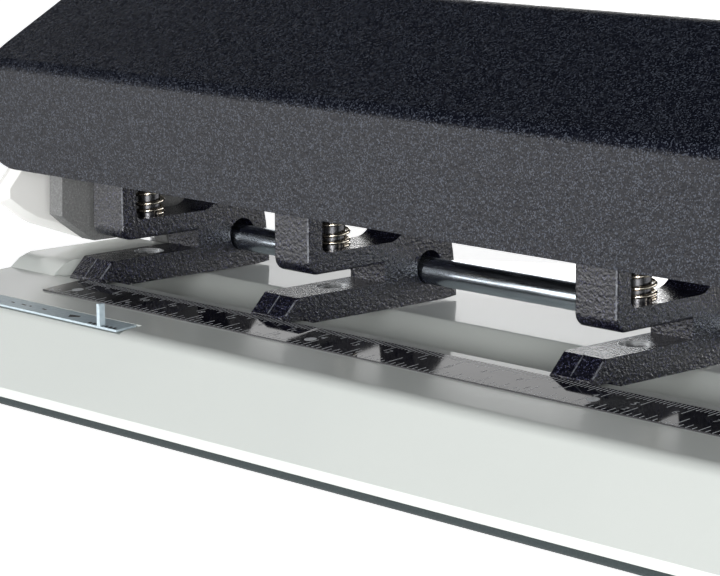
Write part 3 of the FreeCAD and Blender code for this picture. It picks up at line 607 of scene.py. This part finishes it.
def make_nose_rib(head):
    """A thin raised line down the middle of the sloping nose, painted bright as a highlight."""
    low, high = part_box("head_casting_%d" % head)
    x = (low.x + high.x) / 2
    foot = Vector((x, low.y + RIB_FOOT[0] * MM, low.z + RIB_FOOT[1] * MM))
    top = Vector((x, low.y + RIB_TOP[0] * MM, low.z + RIB_TOP[1] * MM))
    along = (top - foot).normalized()
    out = along.cross(Vector((-1, 0, 0)))
    bm = bmesh.new()
    rings = []
    for spot in (foot, top):
        ring = []
        for side, lift in RIB_SECTION:
            ring.append(bm.verts.new(spot + Vector((side * MM, 0, 0)) + out * lift * MM))
        rings.append(ring)
    bridge(bm, rings[0], rings[1])
    bm.faces.new(rings[0])
    bm.faces.new(rings[1])
    new_piece("nose_rib_%d" % head, mesh_of("nose_rib_%d" % head, bm), "head_%d" % head,
              EDGE_HIGHLIGHT_PAINT)


def worn_edge(bm, start, end, first, second, radius):
    """A sliver of painted highlight along a rounded edge, from start to end of its centre line."""
    rims = []
    for spot in (start, end):
        rim = []
        for turn in (30, 40, 50, 60):
            way = math.cos(math.radians(turn)) * first + math.sin(math.radians(turn)) * second
            rim.append(spot + radius * way)
        for turn in (60, 30):
            way = math.cos(math.radians(turn)) * first + math.sin(math.radians(turn)) * second
            rim.append(spot + (radius - HIGHLIGHT_DEEP) * way)
        rims.append([bm.verts.new(point) for point in rim])
    bridge(bm, rims[0], rims[1])
    bm.faces.new(rims[0])
    bm.faces.new(rims[1])


def make_worn_edges(head):
    """Painted highlights, as bright lines along the right edges of the upper and lower nose."""
    low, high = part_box("head_casting_%d" % head)
    right = Vector((1, 0, 0))
    radius = EDGE_ROUND + HIGHLIGHT_PROUD
    bm = bmesh.new()
    x = high.x - EDGE_ROUND
    front = Vector((x, low.y + UPPER_NOSE[0] * MM + EDGE_ROUND, low.z + UPPER_NOSE[1] * MM))
    top = Vector((front.x, front.y, high.z - UPPER_NOSE_TOP))
    worn_edge(bm, front, top, right, Vector((0, -1, 0)), radius)
    slope = Vector((0, 1, 1)).normalized()
    out = Vector((0, -slope.z, slope.y))
    foot = Vector((x, low.y, low.z + LOWER_NOSE_FOOT)) - EDGE_ROUND * out
    start, end = (foot + reach * slope for reach in LOWER_NOSE_HIGHLIGHT)
    worn_edge(bm, start, end, right, out, radius)
    new_piece("edge_highlights_%d" % head, mesh_of("edge_highlights_%d" % head, bm), "head_%d" % head,
              EDGE_HIGHLIGHT_PAINT)


for head in HEADS:
    make_nose_rib(head)
    make_worn_edges(head)


# ------------------------------------------------------------------ marks on the side stop
# Outlines are in mm: x, and the depth forwards from the ledge's back edge.
STRIP_DROP = 0.3 * MM
DASHES = ((-124.2, 1.3), (-120.3, 1.7), (-117.4, 0.9), (-112.6, 1.6))      # start, length
ARROW = ((-102.6, 23.0), (-99.4, 22.4), (-98.9, 23.3), (-101.2, 24.6))
NOTCH_START = -93.2
NOTCH_PITCH = 1.45
NOTCHES = 7


def on_guide(x, depth, lift):
    """A point on the paper guide's strip, measured forwards from the ledge's back edge."""
    y = RULER_HIGH.y - depth
    return Vector((x, y, RULER_HIGH.z - STRIP_DROP - LEDGE_SLOPE * depth + lift))


def guide_patch(bm, outline):
    """A thin printed shape on the paper guide's strip."""
    low = [bm.verts.new(on_guide(x * MM, d * MM, PRINT_LOW)) for x, d in outline]
    high = [bm.verts.new(on_guide(x * MM, d * MM, PRINT_THICK)) for x, d in outline]
    bm.faces.new(high)
    bridge(bm, low, high)


def make_guide_marks():
    """An arrow and a few short lines by which the side stop is set."""
    bm = bmesh.new()
    for x, wide in DASHES:
        guide_patch(bm, [(x, 22.9), (x + wide, 23.1), (x + wide, 23.6), (x, 23.4)])
    guide_patch(bm, ARROW)
    for k in range(NOTCHES):
        x = NOTCH_START + NOTCH_PITCH * k
        guide_patch(bm, [(x, 24.6), (x + 0.9, 24.6), (x + 1.3, 25.7), (x + 0.3, 25.7)])
    new_piece("guide_marks", mesh_of("guide_marks", bm), "guide", PRINT_BLACK)


make_guide_marks()


# ------------------------------------------------------------------ slotted screw heads
SLOT_FLOOR = 0.45          # of the head's thickness
SLOT_HALF = 0.14           # half the slot's width, of the head's radius
ARC_STEPS = 14
HEAD_SIDES = 40
SHANK_SIDES = 28
SHANK_RADIUS = 1.5 * MM
COVER_SCREW = (3.0 * MM, 1.2 * MM, SHANK_RADIUS, 14.4 * MM)    # radius, thickness, shank, reach
FOOT_SCREW = (2.05 * MM, 1.6 * MM, SHANK_RADIUS, 7 * MM)
COVER_SLOTS = (0.6, 1.9)   # the slots' turns, in radians
FOOT_SLOTS = (0.3, 2.2)


def half_disc(bm, middle, along, across, axis, radius, gap, low, high):
    """One half of a slotted head: a disc's part beyond the slot, between two heights."""
    start = math.asin(gap / radius)
    rims = []
    for level in (low, high):
        rim = []
        for i in range(ARC_STEPS + 1):
            turn = start + (math.pi - 2 * start) * i / ARC_STEPS
            rim.append(bm.verts.new(middle + level * axis
                                    + radius * (math.cos(turn) * along + math.sin(turn) * across)))
        rims.append(rim)
    bridge(bm, rims[0], rims[1])
    bm.faces.new(rims[0])
    bm.faces.new(rims[1])


def slotted_head(bm, middle, along, axis, radius, thick):
    """A flat screw head with a straight slot; middle is on its lower face."""
    across = axis.cross(along)
    floor = SLOT_FLOOR * thick
    gap = SLOT_HALF * radius
    low = tube_ring(bm, middle, along, across, radius, HEAD_SIDES)
    high = tube_ring(bm, middle + floor * axis, along, across, radius, HEAD_SIDES)
    bridge(bm, low, high)
    bm.faces.new(low)
    bm.faces.new(high)
    for way in (-1, 1):
        half_disc(bm, middle, along, way * across, axis, radius, gap, floor, thick)


def finish_screws(node, heads):
    """Show slotted heads and plain shanks in place of a node of screws."""
    bm = bmesh.new()
    for middle, along, axis, (radius, thick, shank_radius, shank) in heads:
        slotted_head(bm, middle, along, axis, radius, thick)
        across = axis.cross(along)
        ends = [tube_ring(bm, middle - depth * axis, along, across, shank_radius, SHANK_SIDES)
                for depth in (0.0, shank)]
        bridge(bm, ends[0], ends[1])
        bm.faces.new(ends[1])
    piece = new_piece(node + "_heads", mesh_of(node + "_heads", bm), BODY_OF[node],
                      MATERIALS["fastener_steel"])
    soft = piece.modifiers.new("softened edges", "BEVEL")
    soft.width = 0.12 * MM
    soft.segments = 2
    soft.angle_limit = math.radians(40)
    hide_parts(node)


def make_screws():
    """The four cover screws at the ends, and the four screws through the brackets' feet."""
    low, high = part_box("cover_screws")
    radius, thick = COVER_SCREW[:2]
    heads = []
    for end, way in ((low.x, -1), (high.x, 1)):
        for y, turn in zip((low.y + radius, high.y - radius), COVER_SLOTS):
            middle = Vector((end - way * thick, y, (low.z + high.z) / 2))
            along = Vector((0, math.cos(turn), math.sin(turn)))
            heads.append((middle, along, Vector((way, 0, 0)), COVER_SCREW))
    finish_screws("cover_screws", heads)
    low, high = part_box("bracket_screws")
    radius, thick = FOOT_SCREW[:2]
    heads = []
    for end, way in ((low.x, 1), (high.x, -1)):
        for y, turn in zip((low.y + radius, high.y - radius), FOOT_SLOTS):
            middle = Vector((end + way * radius, y, high.z - thick))
            along = Vector((math.cos(turn), math.sin(turn), 0))
            heads.append((middle, along, UP, FOOT_SCREW))
    finish_screws("bracket_screws", heads)


make_screws()


# ------------------------------------------------------------------ camera
EYE = Vector((0.39669, -0.43260, 0.14018))
HEADING = math.radians(47.208)
PITCH = math.radians(10.577)
ROLL = math.radians(-0.414)
LENS = 142.67
SENSOR = 36.0
SHIFT_UP = 0.003
NEAREST = 0.01


def make_camera():
    """The camera at the photograph's viewpoint."""
    data = bpy.data.cameras.new("camera")
    data.lens = LENS
    data.sensor_width = SENSOR
    data.shift_y = SHIFT_UP
    data.clip_start = NEAREST
    camera = bpy.data.objects.new("camera", data)
    SCENE.collection.objects.link(camera)
    ahead = Vector((-math.sin(HEADING) * math.cos(PITCH), math.cos(HEADING) * math.cos(PITCH),
                    -math.sin(PITCH)))
    facing = ahead.to_track_quat("-Z", "Y").to_matrix().to_4x4()
    facing = facing @ Matrix.Rotation(ROLL, 4, "Z")
    facing.translation = EYE
    camera.matrix_world = facing
    SCENE.camera = camera


make_camera()


# ------------------------------------------------------------------ light and floor
FLOOR_HALF = 6.0
FLOOR_DROP = 0.0002
FLOOR_GLOW = 0.72
HORIZON_TOP = 0.30         # heights in the sky, 0 at eye level and 1 straight up
CEILING_FROM = 0.42
CEILING = (0.015, 0.018, 0.025, 1.0)
WORLD_STRENGTH = 1.12
LIGHTS = (                 # name, place, aim, width, height, watts
    ("key_light", (0.1, -1.05, 1.05), (0.0, 0.0, 0.03), 0.9, 0.6, 2.2),
    ("low_light", (0.15, -1.35, 0.26), (0.0, 0.0, 0.02), 0.8, 0.3, 4.2),
    ("sheen_light", (-0.80, -1.10, 0.24), (-0.03, -0.03, 0.05), 0.9, 0.42, 3.4),
    ("side_light", (0.95, -0.90, 0.20), (-0.10, -0.03, 0.03), 0.5, 0.3, 10.0),
    ("back_light", (-0.30, 1.1, 0.13), (0.0, 0.0, 0.02), 1.5, 0.24, 4.0),
)


def make_floor():
    """A wide, plain, pale floor, which glows a little so that it stays white."""
    bm = bmesh.new()
    bmesh.ops.create_grid(bm, x_segments=1, y_segments=1, size=FLOOR_HALF)
    mesh = bpy.data.meshes.new("floor")
    bm.to_mesh(mesh)
    bm.free()
    floor = bpy.data.objects.new("floor", mesh)
    floor.location.z = -FLOOR_DROP
    SCENE.collection.objects.link(floor)
    finish = Finish("floor_white", (0.92, 0.92, 0.92), 0.9, level=0.0)
    finish.colour(finish.ramp(finish.noise(0.5), [(0.3, 0.91), (0.7, 0.93)]))
    finish.set("Emission Color", (1.0, 1.0, 1.0, 1.0))
    finish.set("Emission Strength", FLOOR_GLOW)
    mesh.materials.append(finish.material)


def soft_light(name, spot, target, wide, high, power):
    """A rectangular lamp that faces its target."""
    data = bpy.data.lights.new(name, "AREA")
    data.shape = "RECTANGLE"
    data.size = wide
    data.size_y = high
    data.energy = power
    lamp = bpy.data.objects.new(name, data)
    SCENE.collection.objects.link(lamp)
    lamp.location = spot
    lamp.rotation_mode = "QUATERNION"
    lamp.rotation_quaternion = (Vector(target) - Vector(spot)).to_track_quat("-Z", "Y")


def make_world():
    """A bright studio: white all round at eye height, darker overhead."""
    world = bpy.data.worlds.new("studio")
    world.use_nodes = True
    SCENE.world = world
    tree = world.node_tree
    background = tree.nodes["Background"]
    coordinates = tree.nodes.new("ShaderNodeTexCoord")
    split = tree.nodes.new("ShaderNodeSeparateXYZ")
    band = tree.nodes.new("ShaderNodeValToRGB")
    band.color_ramp.elements[0].position = HORIZON_TOP
    band.color_ramp.elements[0].color = (1.0, 1.0, 1.0, 1.0)
    band.color_ramp.elements[1].position = CEILING_FROM
    band.color_ramp.elements[1].color = CEILING
    tree.links.new(coordinates.outputs["Generated"], split.inputs["Vector"])
    tree.links.new(split.outputs["Z"], band.inputs["Fac"])
    tree.links.new(band.outputs["Color"], background.inputs["Color"])
    background.inputs["Strength"].default_value = WORLD_STRENGTH


make_floor()
for light in LIGHTS:
    soft_light(*light)
make_world()
SCENE.view_settings.view_transform = "Standard"
